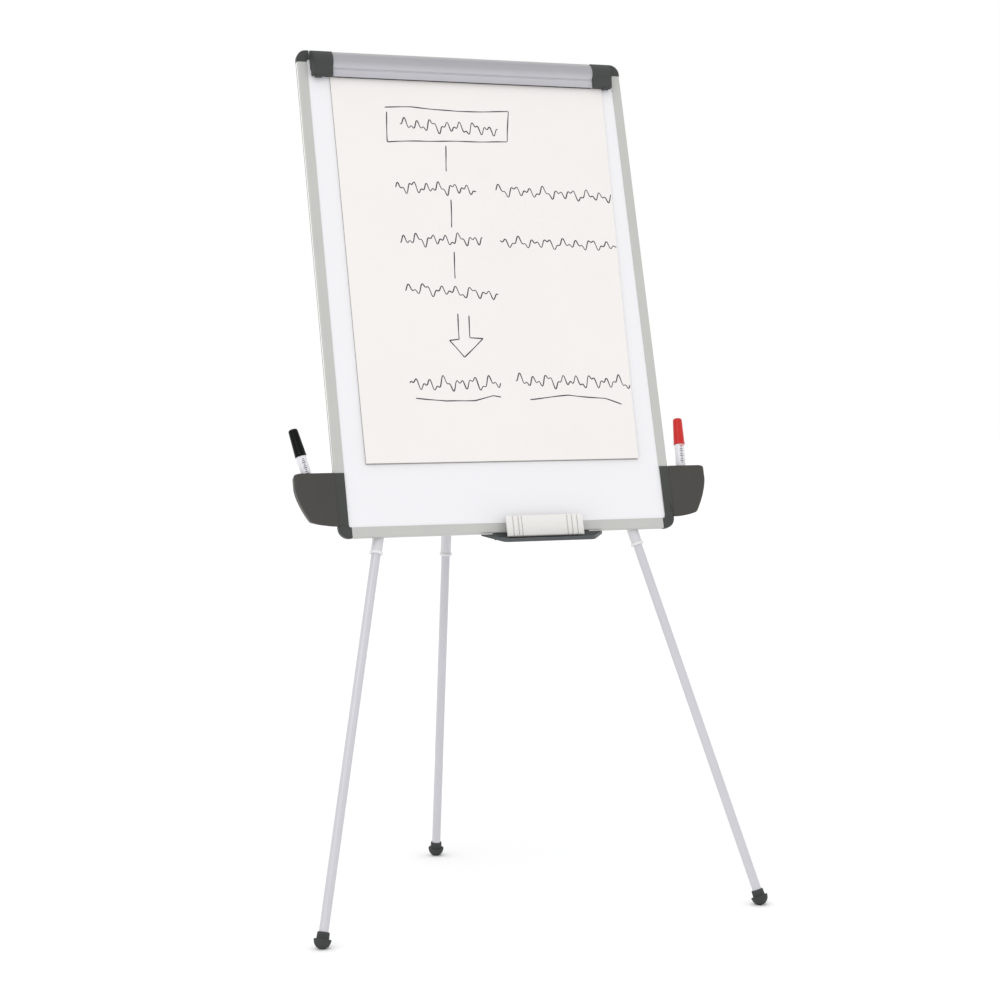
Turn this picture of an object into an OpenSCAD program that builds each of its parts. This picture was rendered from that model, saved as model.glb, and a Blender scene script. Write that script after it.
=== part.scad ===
// Flipchart easel: a framed dry-wipe board with a hinged pad clamp, two clip-on pen pockets and an
// eraser tray, carried by a three-legged stand with telescopic, twist-locked legs.
// The easel stands on z = 0 with the board facing -Y. The origin lies on the floor, on the board's
// centre plane, half way between the front feet and the rear foot.
// "u" is measured along the board, "v" up the board from its bottom edge, "d" back from its face.

/* [Board] */
// Width of the framed board
board_w = 700; // [560:5:900]
// Height of the framed board
board_h = 1000; // [800:5:1250]
// Lean of the board back from vertical, in degrees
board_tilt = 16; // [8:1:22]
// Height of the board's bottom front edge above the floor
board_z = 735; // [600:5:900]
// Width of a frame rail's face
rail_w = 20; // [17:0.5:26]
// Depth of a frame rail from front to back
rail_d = 12; // [10:0.5:18]
// Wall of the rail extrusion
rail_wall = 1.2; // [0.9:0.1:2]
// Radius of the rail's outer front edge
rail_edge_r = 2.5; // [1:0.1:4]
// How far a corner cap's arms reach past its round corner
corner_arm = 5; // [3:1:20]
// How far a corner cap stands proud of the rails
corner_proud = 0.4; // [0.2:0.1:1]
// Thickness of the enamelled steel writing sheet
surface_t = 0.5; // [0.3:0.1:1]
// Thickness of the galvanised back sheet
back_t = 0.4; // [0.3:0.1:1]

/* [Pad clamp] */
// Length of the clamp over its end caps
clamp_len = 650; // [480:5:860]
// Length of each end cap
cap_len = 44; // [38:1:60]
// Radius of the clamp bar's outer bulge
bulge_r = 20; // [18:0.5:24]
// Wall of the clamp bar extrusion
bar_wall = 1.6; // [1.2:0.1:2.4]
// Height of the flat lip at the clamp bar's lower edge
lip_h = 15; // [12:0.5:20]
// How far the lip stands out past the bulge
lip_step = 1.7; // [1:0.1:3]
// Diameter of the hinge pins
clamp_pin_d = 5; // [4:0.5:6]

/* [Paper pad] */
// Width of the pad along its lower edge
pad_w = 571; // [420:1:600]
// How much wider the pad is along its upper edge, on its right side
pad_flare = 20; // [0:1:20]
// Height of the pad
pad_h = 836; // [600:1:1000]
// Thickness of the pad
pad_t = 3; // [1.5:0.5:8]

/* [Pen pockets] */
// How far a pocket stands out past the frame
pocket_w = 81; // [70:1:100]
// Height of a pocket
pocket_h = 103; // [90:1:130]
// Height of a pocket's lower edge above the board's bottom edge
pocket_v = 24; // [20:1:60]
// Depth of a pocket from front to back
pocket_d = 36; // [30:1:50]
// Wall of a pocket
pocket_wall = 2; // [1.5:0.1:3]
// Height of the pen floor above a pocket's lower edge
pen_floor_v = 56; // [30:1:80]

/* [Markers] */
// Diameter of a marker's barrel
marker_d = 20; // [14:0.5:22]
// Length of the left marker with its cap on
left_marker_len = 139; // [125:1:160]
// Length of the right marker with its cap on
right_marker_len = 149; // [125:1:160]
// Length of a marker's cap
marker_cap_len = 55; // [45:1:65]
// Lean of the left marker outwards in its pocket, in degrees
left_marker_lean = 12.5; // [0:0.5:13]
// Lean of the right marker outwards in its pocket, in degrees
right_marker_lean = 3; // [0:1:12]

/* [Eraser and tray] */
// Distance of the tray's middle from the board's centre, to the right
tray_u = 62; // [0:1:120]
// Length of the tray along the board's bottom edge
tray_back_len = 260; // [220:1:320]
// Length of the tray's straight front edge
tray_front_len = 182; // [160:1:210]
// How far the tray stands out in front of the board
tray_out = 47; // [42:1:70]
// Thickness of the tray's floor
tray_t = 3; // [2:0.1:4]
// Height of the tray's rim above its floor
tray_rim = 4.5; // [3:0.5:8]
// Gap from the board's bottom edge down to the tray's floor
tray_drop = 12.5; // [10:0.1:20]
// Length of the eraser
eraser_len = 161; // [120:1:170]
// Height of the eraser as it stands
eraser_h = 42; // [35:1:60]
// Thickness of the eraser with its felt
eraser_t = 24; // [18:1:30]
// Thickness of the eraser's felt
felt_t = 7; // [4:0.5:10]

/* [Legs] */
// Distance between the centres of the front feet
feet_w = 888; // [760:2:1060]
// Distance from the line of the front feet back to the rear foot
feet_d = 670; // [560:2:800]
// Distance between the front legs' pivots
pivot_gap = 134; // [124:1:170]
// Height of the front pivots up the board
pivot_v = 840; // [660:5:1000]
// How much higher the rear leg's pivot sits
rear_pivot_rise = 22; // [18:1:40]
// Gap between the front legs and the back of the frame
leg_gap = 2; // [1:0.5:6]
// Distance from the front legs' plane back to the rear pivot
rear_pivot_back = 30; // [28:1:45]
// Diameter of the upper tubes
upper_d = 22; // [20:0.5:26]
// Diameter of the lower tubes
lower_d = 18; // [15:0.5:20]
// Wall of the leg tubes
tube_wall = 1; // [0.8:0.1:1.5]
// Length from a leg's pivot to the lower end of its upper tube
upper_reach = 888; // [760:2:960]
// Length of the lower tubes
lower_len = 900; // [760:2:1000]
// Diameter of the pivot bolts
bolt_d = 6; // [5:0.5:8]

/* [Feet] */
// Radius of a rubber foot's round bottom
foot_r = 16; // [13:0.5:22]
// Wall of the foot's sleeve around the tube
foot_wall = 2.8; // [1.5:0.1:4]
// How much of the foot's round bottom is pressed flat on the floor
foot_flat = 1; // [0.5:0.1:2]

/* [Fits] */
// Radial clearance of a running fit
run = 0.07; // [0.03:0.01:0.1]
// Gap between parts that move past each other
gap = 0.3; // [0.2:0.05:0.5]

/* [Hidden] */
$fn = 96;

// Legs and head, worked out in the board's own frame
foot_z = foot_r - foot_flat;
leg_plane_d = rail_d + leg_gap + upper_d / 2;
board_y = -feet_d / 2 - (leg_plane_d + (foot_z - board_z) * sin(board_tilt)) / cos(board_tilt);
front_foot_v = (foot_z - board_z + leg_plane_d * sin(board_tilt)) / cos(board_tilt);
front_splay = atan((feet_w - pivot_gap) / 2 / (pivot_v - front_foot_v));
front_len = norm([(feet_w - pivot_gap) / 2, pivot_v - front_foot_v]);
rear_pivot_d = leg_plane_d + rear_pivot_back;
rear_pivot_v = pivot_v + rear_pivot_rise;
rear_foot_d = (feet_d / 2 - board_y) * cos(board_tilt) - (foot_z - board_z) * sin(board_tilt);
rear_foot_v = (feet_d / 2 - board_y) * sin(board_tilt) + (foot_z - board_z) * cos(board_tilt);
rear_swing = atan((rear_foot_d - rear_pivot_d) / (rear_pivot_v - rear_foot_v));
rear_len = norm([rear_foot_d - rear_pivot_d, rear_pivot_v - rear_foot_v]);
tongue_t = 8;
tongue_r = upper_d / 2;
tube_top = 29;
plug_len = 37;
foot_seat = 6;
lock_rise = 31;
// Frame
box_w = rail_w - 7.8;
panel_in = box_w + 0.8;
cap_reach = rail_w + corner_arm;
plate_front = rail_d - rail_wall;
plate_back = plate_front + 2;
// Clamp, heights measured down from the board's top edge and distances forward from its face
hinge_f = 9.5;
hinge_v = -13;
bulge_v = -5 - bulge_r;
lip_v = bulge_v - 0.85 * bulge_r;
lip_f = bulge_r * cos(asin(0.85));
clamp_open = 60;
// Pockets
pocket_top = pocket_v + pocket_h;
pen_floor = pocket_v + pen_floor_v;
marker_r = marker_d / 2;
// Eraser
eraser_v = 0.03 - tray_drop / cos(board_tilt);

// ---- Frames of reference ----

// The leaning frame that everything on the board is drawn in
module in_board() {
  translate([0, board_y, board_z]) rotate([-board_tilt, 0, 0]) children();
}

// Stands a drawing of u and v up in the board's plane, its thickness running back from d
module plan(d) {
  translate([0, d, 0]) mirror([0, 1, 0]) rotate([90, 0, 0]) children();
}

// Runs a section drawn as forward distance and height along the board from u = a to u = b
module across(a, b) {
  translate([b, 0, 0]) rotate([90, 0, -90]) linear_extrude(b - a) children();
}

// A leg's own frame: the pivot at the origin, the hinge axis along y and the leg running down z
module in_leg(leg) {
  in_board() {
    if (leg == "left") {
      translate([-pivot_gap / 2, leg_plane_d, pivot_v]) rotate([0, front_splay, 0]) children();
    }
    if (leg == "right") {
      translate([pivot_gap / 2, leg_plane_d, pivot_v]) rotate([0, -front_splay, 0]) children();
    }
    if (leg == "rear") {
      translate([0, rear_pivot_d, rear_pivot_v]) rotate([rear_swing, 0, 0]) rotate([0, 0, 90]) children();
    }
  }
}

// ---- Board ----

// Cuts a square corner at the origin back to a round one
module round_corner(r) {
  difference() {
    translate([-2, -2]) square(r + 2);
    translate([r, r]) circle(r);
  }
}

// Section of a frame rail: x inwards from the outer edge, y back from the face
module rail_section() {
  difference() {
    square([rail_w, rail_d]);
    round_corner(rail_edge_r);
    translate([rail_wall, rail_wall]) square([box_w - 2 * rail_wall, rail_d - 2 * rail_wall]);
    translate([box_w, rail_wall]) square([rail_w, rail_d - 2 * rail_wall]);
  }
}

module side_rail() {
  difference() {
    translate([-board_w / 2, 0, cap_reach]) linear_extrude(board_h - 2 * cap_reach) rail_section();
    screw_places() screw_bore();
  }
}

module end_rail() {
  translate([board_w / 2 - cap_reach, 0, 0])
    rotate([0, -90, 0]) linear_extrude(board_w - 2 * cap_reach) rail_section();
}

module rail_left() {
  color("silver") in_board() side_rail();
}

module rail_right() {
  color("silver") in_board() mirror([1, 0, 0]) side_rail();
}

module rail_bottom() {
  color("silver") in_board() difference() {
    end_rail();
    screw_places() screw_bore();
  }
}

module rail_top() {
  color("silver") in_board() difference() {
    translate([0, 0, board_h]) mirror([0, 0, 1]) end_rail();
    screw_places() screw_bore();
  }
}

module panel(d, t) {
  in_board() translate([panel_in - board_w / 2, d, panel_in])
    cube([board_w - 2 * panel_in, t, board_h - 2 * panel_in]);
}

module writing_surface() {
  color("white") difference() {
    panel(rail_wall, surface_t);
    in_board() screw_places() screw_bore();
  }
}

module board_core() {
  core_t = rail_d - 2 * rail_wall - surface_t - back_t;
  color("tan") difference() {
    panel(rail_wall + surface_t, core_t);
    in_board() head_screw_places() screw_bore();
    in_board() screw_places() screw_bore();
  }
}

module back_sheet() {
  color("gainsboro") difference() {
    panel(plate_front - back_t, back_t);
    in_board() head_screw_places() screw_bore();
  }
}

// Face of a corner cap with its corner at the origin, its outer edges drawn in by "inset"
module cap_outline(inset) {
  edge = inset - corner_proud;
  difference() {
    translate([edge, edge]) square(cap_reach - edge);
    difference() {
      translate([-5, -5]) square(rail_w + 5);
      translate([rail_w, rail_w]) circle(rail_w - edge);
    }
    translate([rail_w + 3, rail_w]) square(80);
    translate([rail_w, rail_w + 3]) square(80);
    translate([rail_w + 3, rail_w + 3]) circle(3);
  }
}

// A corner cap with two tongues that fill the ends of the rails
module corner_cap() {
  tongue_w = box_w - 2 * rail_wall - 0.4;
  tongue_d = rail_d - 2 * rail_wall - 0.4;
  plan(0) difference() {
    union() {
      translate([0, 0, -corner_proud]) linear_extrude(0.6) cap_outline(1.2);
      translate([0, 0, 0.6 - corner_proud]) linear_extrude(0.9) cap_outline(0.4);
      translate([0, 0, 1.5 - corner_proud]) linear_extrude(rail_d + 2 * corner_proud - 2) cap_outline(0);
      translate([0, 0, rail_d + corner_proud - 0.5]) linear_extrude(0.5) cap_outline(0.5);
      translate([rail_w, rail_wall + 0.2, rail_wall + 0.2]) cube([corner_arm + 30, tongue_w, tongue_d]);
      translate([rail_wall + 0.2, rail_w, rail_wall + 0.2]) cube([tongue_w, corner_arm + 30, tongue_d]);
    }
    translate([panel_in - 0.3, panel_in - 0.3, rail_wall]) cube([90, 90, rail_d - 2 * rail_wall]);
  }
}

module placed_cap(right, top) {
  color("dimgray") in_board() difference() {
    translate([right ? board_w / 2 : -board_w / 2, 0, top ? board_h : 0])
      mirror([right ? 1 : 0, 0, 0]) mirror([0, 0, top ? 1 : 0]) corner_cap();
    screw_places() screw_bore();
  }
}

module corner_top_left() {
  placed_cap(false, true);
}

module corner_top_right() {
  placed_cap(true, true);
}

module corner_bottom_left() {
  placed_cap(false, false);
}

module corner_bottom_right() {
  placed_cap(true, false);
}

// ---- Screws ----

// A small pan-head screw, its head standing up from z = 0
module screw() {
  translate([0, 0, -7]) cylinder(h = 7.2, r = 1.5);
  difference() {
    union() {
      cylinder(h = 1.2, r = 3);
      translate([0, 0, 1.2]) cylinder(h = 0.6, r1 = 3, r2 = 2.2);
    }
    translate([0, 0, 0.9]) cylinder(h = 2, r = 1.1, $fn = 6);
  }
}

module screw_bore() {
  translate([0, 0, -7.2]) cylinder(h = 7.3, r = 1.5);
}

module from_back(u, d, v) {
  translate([u, d, v]) rotate([-90, 0, 0]) children();
}

// Every screw of the frame: corner tongues, pockets, clamp brackets and tray
module screw_places() {
  for (s = [-1, 1]) {
    for (v = [box_w / 2, board_h - box_w / 2])
      from_back(s * (board_w / 2 - cap_reach - 15), rail_d, v) children();
    for (v = [cap_reach + 15, board_h - cap_reach - 15])
      from_back(s * (board_w / 2 - box_w / 2), rail_d, v) children();
    for (v = [pocket_top - 25, pocket_top - 60])
      from_back(s * (board_w / 2 - 9), rail_d + pocket_wall, v) children();
    translate([s * (clamp_len / 2 - 30.5), -1.5, board_h + hinge_v]) rotate([90, 0, 0]) children();
  }
  for (u = [-85, 0, 85]) translate([tray_u + u, 6, -2.4]) rotate([180, 0, 0]) children();
}

module frame_screws() {
  color("slategray") in_board() screw_places() screw();
}

module head_screw_places() {
  for (s = [-1, 1]) {
    for (v = [-8, 44]) from_back(s * 94, plate_back + 4, pivot_v + v) children();
    for (v = [-42, 52]) from_back(s * 108, plate_back, pivot_v + v) children();
  }
}

module head_screws() {
  color("slategray") in_board() head_screw_places() screw();
}

// ---- Pad clamp ----

// The clamp's bulging section, cut off behind the forward distance "back"
module bulge(r, back) {
  intersection() {
    translate([0, bulge_v]) circle(r);
    translate([back, -70]) square([60, 80]);
  }
}

// Section of the clamp bar's bulging wall
module bar_bulge() {
  difference() {
    bulge(bulge_r, 4.5);
    bulge(bulge_r - bar_wall, 0);
    translate([0, lip_v - 20]) square([40, 20]);
  }
}

// Section of the clamp bar's ledge, fine groove and flat lip
module bar_lip() {
  out = lip_f + lip_step;
  polygon([
    [lip_f - 0.1, lip_v + 0.8],
    [out, lip_v - 0.5],
    [out - 0.2, lip_v - 1.8],
    [out - 0.8, lip_v - 1.8],
    [out - 0.9, lip_v - 2.6],
    [out - 0.3, lip_v - 2.6],
    [out - 2.6, lip_v - 0.5 - lip_h],
    [out - 4.6, lip_v - 0.5 - lip_h],
    [lip_f - 1.6, lip_v],
    [lip_f - 1.6, lip_v + 0.8]
  ]);
}

module clamp_bar() {
  half = clamp_len / 2 - cap_len;
  color("darkgray") in_board() translate([0, 0, board_h]) union() {
    across(-half, half) bar_bulge();
    across(-half, half) bar_lip();
    across(-half, half) translate([3.5, lip_v - 8]) square([5.2, 1.4]);
  }
}

module clamp_grip_strip() {
  half = clamp_len / 2 - cap_len - 1;
  back = pad_t - rail_wall + 0.3;
  out = lip_f + lip_step;
  slope = (lip_f - 1.6 - out + 4.6) / (lip_h + 0.5);
  color("black") in_board() translate([0, 0, board_h]) across(-half, half) polygon([
    [back, lip_v - lip_h],
    [lip_f - 1.62 - slope * lip_h, lip_v - lip_h],
    [lip_f - 1.62 - slope * 8, lip_v - 8],
    [back, lip_v - 8]
  ]);
}

// Section of an end cap: the bulge with a barrel round the hinge pin
module cap_outer(r) {
  difference() {
    bulge(r, pad_t - rail_wall + 0.4);
    translate([-10, hinge_v]) square([hinge_f + 10, 40]);
  }
  intersection() {
    translate([hinge_f, hinge_v]) circle(7.7);
    translate([2.2, -40]) square([40, 60]);
  }
}

// The room a hinge bracket sweeps inside its cap as the clamp opens
module bracket_sweep() {
  translate([hinge_f, hinge_v]) {
    circle(5.5);
    for (a = [0, -clamp_open - 2]) rotate(a) translate([-18, -5.5]) square([18, 11]);
    polygon([
      [0, 0],
      [-18, 0],
      [-20 * cos(15), 20 * sin(15)],
      [-20 * cos(35), 20 * sin(35)],
      [-20 * cos(50), 20 * sin(50)],
      [-18 * cos(clamp_open + 2), 18 * sin(clamp_open + 2)]
    ]);
  }
}

module clamp_cap() {
  r = bulge_r + 2;
  inner = clamp_len / 2 - cap_len;
  outer = clamp_len / 2;
  translate([0, 0, board_h]) difference() {
    union() {
      across(inner, outer - 5) cap_outer(r);
      across(outer - 5.01, outer - 2) cap_outer(r - 1);
      across(outer - 2.01, outer) cap_outer(r - 3);
      across(inner - 18, inner + 1) bulge(bulge_r - bar_wall - 0.1, 5.2);
      translate([outer - 25, -9, bulge_v - r - 4]) cube([16, 6, 8]);
    }
    across(outer - 36, outer - 19.5) bracket_sweep();
    across(outer - 18, outer - 4) intersection() {
      bulge(bulge_r - 0.5, -5);
      translate([-10, bulge_v - 30]) square([40, 31]);
    }
    across(outer - 42, outer - 7) translate([hinge_f, hinge_v]) circle(clamp_pin_d / 2 + run);
  }
}

module clamp_cap_right() {
  color("dimgray") in_board() clamp_cap();
}

module clamp_cap_left() {
  color("dimgray") in_board() mirror([1, 0, 0]) clamp_cap();
}

module clamp_brackets() {
  outer = clamp_len / 2;
  color("lightgray") in_board() difference() {
    for (m = [0, 1]) mirror([m, 0, 0]) translate([0, 0, board_h]) {
      translate([outer - 35.4, -1.5, -18]) cube([15.2, 1.5, 16]);
      difference() {
        across(outer - 25, outer - 22) {
          translate([0, hinge_v - 5]) square([hinge_f, 10]);
          translate([hinge_f, hinge_v]) circle(5);
        }
        across(outer - 26, outer - 21) translate([hinge_f, hinge_v]) circle(clamp_pin_d / 2);
      }
    }
    screw_places() screw_bore();
  }
}

module clamp_hinge_pins() {
  outer = clamp_len / 2;
  color("silver") in_board() for (m = [0, 1]) mirror([m, 0, 0]) translate([0, 0, board_h])
    across(outer - 41, outer - 8) translate([hinge_f, hinge_v]) circle(clamp_pin_d / 2);
}

module clamp_springs() {
  outer = clamp_len / 2;
  coil_r = clamp_pin_d / 2 + 1.9;
  color("dimgray") in_board() for (m = [0, 1]) mirror([m, 0, 0]) translate([0, 0, board_h]) {
    translate([outer - 34.4, -hinge_f, hinge_v]) rotate([0, 90, 0]) rotate_extrude()
      for (i = [0:4]) translate([coil_r, 0.8 + 1.3 * i]) circle(0.8, $fn = 32);
    translate([outer - 33.6, -1.5, hinge_v - coil_r]) rotate([90, 0, 0]) cylinder(h = 7.6, r = 0.5, $fn = 16);
  }
}

// ---- Paper ----

module flipchart_pad() {
  top = board_h - rail_w - 0.3;
  color("white") in_board() plan(rail_wall - pad_t) linear_extrude(pad_t) polygon([
    [-pad_w / 2, top - pad_h],
    [pad_w / 2, top - pad_h],
    [pad_w / 2 + pad_flare, top],
    [-pad_w / 2, top]
  ]);
}

// ---- Pen pockets ----

// Outline of a pocket's face beside the right-hand rail, drawn in by "inset"
module pocket_outline(inset) {
  side = board_w / 2;
  corner = [side + pocket_w - 7.8, pocket_top - 8];
  difference() {
    intersection() {
      translate([side - 45, pocket_top - 17]) circle(pocket_w + 46 - inset);
      polygon([
        [side + 1 + inset, pocket_v - 1 + inset],
        [side + 101, pocket_v + 9 + inset],
        [side + 101, pocket_top - inset],
        [side + 1 + inset, pocket_top - inset]
      ]);
    }
    difference() {
      translate(corner) square(16);
      translate(corner) circle(8 - inset);
    }
  }
}

module pocket() {
  side = board_w / 2;
  front = -4;
  back = pocket_d + front;
  band_v = max(pocket_v + 1.3, cap_reach + 0.3);
  difference() {
    union() {
      plan(front) linear_extrude(0.71) pocket_outline(2);
      plan(front + 0.7) linear_extrude(1.01) pocket_outline(0.9);
      plan(front + 1.7) linear_extrude(1.01) pocket_outline(0.25);
      plan(front + 2.7) linear_extrude(back - front - 2.7) pocket_outline(0);
      translate([side - 19, -2, band_v]) cube([21, 2, pocket_top - band_v]);
      translate([side, -2, band_v]) cube([2, rail_d + 2 + pocket_wall, pocket_top - band_v]);
      translate([side - 16, rail_d, pocket_top - 72]) cube([18, pocket_wall, 60]);
    }
    plan(front + pocket_wall) linear_extrude(back - front - 2 * pocket_wall) {
      intersection() {
        pocket_outline(pocket_wall);
        translate([0, pen_floor]) square([board_w, pocket_h]);
      }
      translate([side + 1 + pocket_wall, pocket_top - 9]) square([pocket_w - 9, 20]);
    }
    plan(front + pocket_wall) linear_extrude(pocket_d + 20) intersection() {
      pocket_outline(pocket_wall);
      translate([0, pocket_v - 20]) square([board_w, pen_floor_v + 20 - pocket_wall]);
    }
    screw_places() screw_bore();
  }
}

module side_pocket_right() {
  color("dimgray") in_board() pocket();
}

module side_pocket_left() {
  color("dimgray") in_board() mirror([1, 0, 0]) pocket();
}

// ---- Markers ----

// A marker's frame: its flat end at the origin and its axis along z
module in_marker(side) {
  lean = side < 0 ? left_marker_lean : right_marker_lean;
  foot_u = board_w / 2 + (side < 0 ? 41 : 33);
  in_board() translate([side * foot_u, 13, pen_floor + 0.1 + marker_r * sin(lean)])
    rotate([0, side * lean, 0]) children();
}

module marker_barrel(len) {
  neck = len - marker_cap_len;
  rotate_extrude() polygon([
    [0, 0],
    [marker_r - 1, 0],
    [marker_r, 1],
    [marker_r, neck - 0.3],
    [marker_r - 2, neck - 0.3],
    [marker_r - 2, neck + 14],
    [marker_r - 4, neck + 22],
    [3, neck + 24],
    [2.2, neck + 24],
    [2.2, neck + 14],
    [0, neck + 14]
  ]);
}

module marker_nib(len) {
  neck = len - marker_cap_len;
  translate([0, 0, neck + 14]) cylinder(h = 14, r = 2.2);
  translate([0, 0, neck + 28]) cylinder(h = 4, r1 = 2.2, r2 = 1);
}

module marker_cap(len) {
  neck = len - marker_cap_len;
  rotate_extrude() difference() {
    union() {
      polygon([
        [0, neck],
        [marker_r + 1.5, neck],
        [marker_r + 1.5, neck + 3],
        [marker_r + 1.2, neck + 3.6],
        [marker_r, len - 3],
        [0, len - 3]
      ]);
      translate([0, len - 3]) intersection() {
        translate([marker_r - 3, 0]) circle(3);
        translate([0, -1]) square([20, 10]);
      }
      translate([0, len - 4]) square([marker_r - 3, 4]);
    }
    translate([-1, neck - 1]) square([marker_r - 2 + run + 1, marker_cap_len - 12]);
  }
}

module marker_left_barrel() {
  color("white") in_marker(-1) marker_barrel(left_marker_len);
}

module marker_left_nib() {
  color("black") in_marker(-1) marker_nib(left_marker_len);
}

module marker_left_cap() {
  color("black") in_marker(-1) marker_cap(left_marker_len);
}

module marker_right_barrel() {
  color("white") in_marker(1) marker_barrel(right_marker_len);
}

module marker_right_nib() {
  color("red") in_marker(1) marker_nib(right_marker_len);
}

module marker_right_cap() {
  color("red") in_marker(1) marker_cap(right_marker_len);
}

// ---- Eraser and tray ----

// Outline of the tray from above, drawn in by "inset"
module tray_outline(inset) {
  half = tray_back_len / 2;
  front = tray_front_len / 2;
  round_r = 12;
  difference() {
    offset(r = round_r - inset) offset(delta = -round_r) polygon([
      [-half - 6, 8],
      [-half, 0],
      [-front - 2, -tray_out],
      [front + 2, -tray_out],
      [half, 0],
      [half + 6, 8],
      [half, 30],
      [-half, 30]
    ]);
    translate([-200, 1]) square([400, 60]);
  }
}

module pen_tray() {
  color("darkslategray") difference() {
    union() {
      translate([tray_u, board_y, board_z]) {
        translate([0, 0, -tray_drop - tray_t]) linear_extrude(tray_t) tray_outline(0);
        intersection() {
          translate([0, 0, -tray_drop - tray_t]) linear_extrude(tray_t + 20) difference() {
            tray_outline(0);
            tray_outline(3);
          }
          rotate([90, 0, 90]) translate([0, 0, -200]) linear_extrude(400) polygon([
            [-tray_out - 9, -tray_drop - tray_t],
            [-tray_out - 9, tray_rim - tray_drop],
            [-tray_out * 0.6, tray_rim - tray_drop],
            [-tray_out * 0.35, tray_rim - tray_drop + 1.6],
            [-tray_out * 0.1, -2.5],
            [2, -2.5],
            [2, -tray_drop - tray_t]
          ]);
        }
      }
      in_board() translate([tray_u - 100, 0.6, -tray_drop / cos(board_tilt) - 1]) cube([200, 2.4, tray_drop + 1]);
      in_board() translate([tray_u - 100, 0.6, -2.4]) cube([200, rail_d - 1, 2.4]);
    }
    in_board() screw_places() screw_bore();
  }
}

module eraser_body() {
  back = 0.1 + felt_t;
  color("whitesmoke") in_board() translate([tray_u, 0, eraser_v]) difference() {
    translate([-eraser_len / 2, -eraser_t, 0]) cube([eraser_len, eraser_t - back, eraser_h]);
    for (u = [13.5, 24.5, 31.6, 126.7, 137, 148]) translate([u - eraser_len / 2 - 0.5, -eraser_t - 1, -1])
      cube([1, 1.8, eraser_h + 2]);
    translate([-eraser_len / 2 - 1, -eraser_t - 1, eraser_h - 1]) cube([eraser_len + 2, 2, 2]);
  }
}

module eraser_felt() {
  color("dimgray") in_board() translate([tray_u - eraser_len / 2 + 1, -0.1 - felt_t, eraser_v])
    cube([eraser_len - 2, felt_t, eraser_h]);
}

// ---- Stand head ----

module rounded_plate(half_u, low, high, r) {
  translate([0, (low + high) / 2]) {
    square([2 * half_u, high - low - 2 * r], center = true);
    square([2 * half_u - 2 * r, high - low], center = true);
    for (s = [-1, 1], t = [-1, 1]) translate([s * (half_u - r), t * ((high - low) / 2 - r)]) circle(r);
  }
}

module head_plate() {
  color("lightgray") in_board() difference() {
    plan(plate_front) linear_extrude(2) rounded_plate(115, pivot_v - 50, pivot_v + 60, 8);
    head_screw_places() screw_bore();
  }
}

// The slot a front leg's tongue swings in
module tongue_slot() {
  gapped = tongue_r + 0.4;
  circle(gapped + 0.3);
  for (a = [0, front_splay]) rotate(a) translate([-gapped, -40]) square([2 * gapped, 40]);
}

module head_housing() {
  slot_d = leg_plane_d - tongue_t / 2 - gap;
  back = leg_plane_d + upper_d / 2;
  ear_in = tongue_t / 2 + gap;
  color("darkslategray") in_board() difference() {
    union() {
      plan(plate_back) linear_extrude(4) rounded_plate(102, pivot_v - 18, pivot_v + 54, 8);
      plan(plate_back) linear_extrude(back - plate_back)
        rounded_plate(pivot_gap / 2 + 19, pivot_v - 20, rear_pivot_v + 16, 9);
      for (s = [-1, 1]) translate([s * (ear_in + 3) - 3, 0, 0]) {
        translate([0, back - 6, rear_pivot_v - 12.5]) cube([6, rear_pivot_d - back + 6, 25]);
        translate([0, rear_pivot_d, rear_pivot_v]) rotate([0, 90, 0]) cylinder(h = 6, r = 13);
      }
    }
    for (m = [0, 1]) mirror([m, 0, 0]) translate([pivot_gap / 2, 0, pivot_v]) {
      plan(slot_d) linear_extrude(tongue_t + 2 * gap) tongue_slot();
      plan(plate_back) linear_extrude(6) circle(r = 5.85, $fn = 6);
      plan(plate_back) linear_extrude(back) circle(bolt_d / 2);
    }
    for (m = [0, 1]) mirror([m, 0, 0]) translate([16, plate_back + 5, pivot_v - 10]) cube([32, 60, 36]);
    translate([-20, rear_pivot_d, rear_pivot_v]) rotate([0, 90, 0]) cylinder(h = 40, r = bolt_d / 2);
    head_screw_places() screw_bore();
  }
}

module pivot_bolt(len) {
  cylinder(h = len, r = bolt_d / 2);
  translate([0, 0, len]) cylinder(h = 3, r = 5.5);
  translate([0, 0, len + 3]) cylinder(h = 1, r1 = 5.5, r2 = 4.2);
}

module nut() {
  linear_extrude(5) difference() {
    circle(r = 5.8, $fn = 6);
    circle(bolt_d / 2);
  }
}

module pivot_bolts() {
  back = leg_plane_d + upper_d / 2;
  ear_out = tongue_t / 2 + gap + 6;
  color("slategray") in_board() {
    for (s = [-1, 1]) from_back(s * pivot_gap / 2, plate_back + 1, pivot_v) pivot_bolt(back - plate_back - 1);
    translate([-ear_out - 5.5, rear_pivot_d, rear_pivot_v]) rotate([0, 90, 0]) pivot_bolt(2 * ear_out + 5.5);
  }
}

module pivot_nuts() {
  ear_out = tongue_t / 2 + gap + 6;
  color("silver") in_board() {
    for (s = [-1, 1]) translate([s * pivot_gap / 2, 0, pivot_v]) plan(plate_back + 1) nut();
    translate([-ear_out - 5, rear_pivot_d, rear_pivot_v]) rotate([0, 90, 0]) nut();
  }
}

// ---- Legs, each drawn in its own frame ----

module knuckle() {
  translate([0, tongue_t / 2, 0]) rotate([90, 0, 0]) linear_extrude(tongue_t) difference() {
    union() {
      circle(tongue_r);
      translate([-tongue_r, -tube_top + 2]) square([2 * tongue_r, tube_top - 2]);
    }
    circle(bolt_d / 2 + run);
  }
  translate([0, 0, -tube_top]) cylinder(h = 3, r = upper_d / 2 + 0.6);
  translate([0, 0, -tube_top - plug_len]) cylinder(h = plug_len + 1, r = upper_d / 2 - tube_wall - 0.02);
}

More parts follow.
